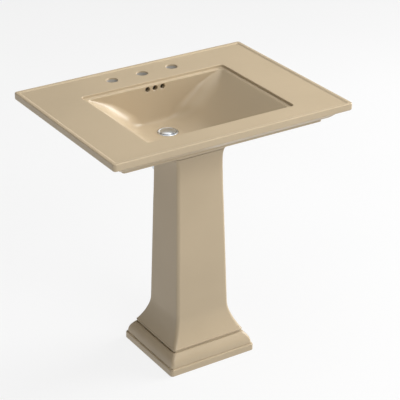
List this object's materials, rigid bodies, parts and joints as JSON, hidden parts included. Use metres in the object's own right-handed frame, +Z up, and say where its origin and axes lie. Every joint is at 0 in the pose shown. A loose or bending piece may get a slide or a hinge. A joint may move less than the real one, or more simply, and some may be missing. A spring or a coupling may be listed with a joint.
{
  "type": "pedestal sink",
  "caption": "Pedestal sink: wide flat-deck basin with a sloping rectangular bowl on a square flared pedestal, push-open drain and bottle trap.",
  "frame": {"origin": "on the floor, under the centre of the basin's rectangular deck", "axes": "+Z up; +Y towards the wall the basin hangs on, square to its back face; +X to the right for someone standing at the front"},
  "size_m": [0.774, 0.584, 0.8],
  "materials": {
    "china": "smooth clear glaze over a warm sand-coloured vitreous china",
    "chrome": "polished",
    "brass": "machined",
    "spring_steel": "drawn wire",
    "rubber": "matt black",
    "nylon": "moulded, slightly translucent white"
  },
  "bodies": {
    "sink": {"basin": "china", "pedestal": "china", "seat_pads": "rubber", "drain_body": "chrome", "flange_gasket": "rubber", "click_housing": "brass", "click_collar": "brass", "click_spring": "spring_steel", "outlet_gasket": "rubber", "friction_washer": "nylon", "drain_locknut": "brass", "tailpiece": "chrome", "tailpiece_washer": "rubber", "trap_head": "chrome", "trap_dip_tube": "chrome", "trap_cup": "chrome", "trap_cup_seal": "rubber", "trap_outlet_tube": "chrome", "trap_inlet_nut": "chrome", "trap_inlet_washer": "rubber", "trap_outlet_nut": "chrome", "trap_outlet_washer": "rubber"},
    "stopper": {"stopper_cap": "chrome", "stopper_seal": "rubber", "stopper_stem": "brass", "click_plunger": "nylon"}
  },
  "joints": [
    {"name": "stopper_slide", "type": "slide", "parent": "sink", "child": "stopper", "axis": [0, 0, 1], "range_m": [0, 0.009], "deforming": ["click_spring"]}
  ]
}
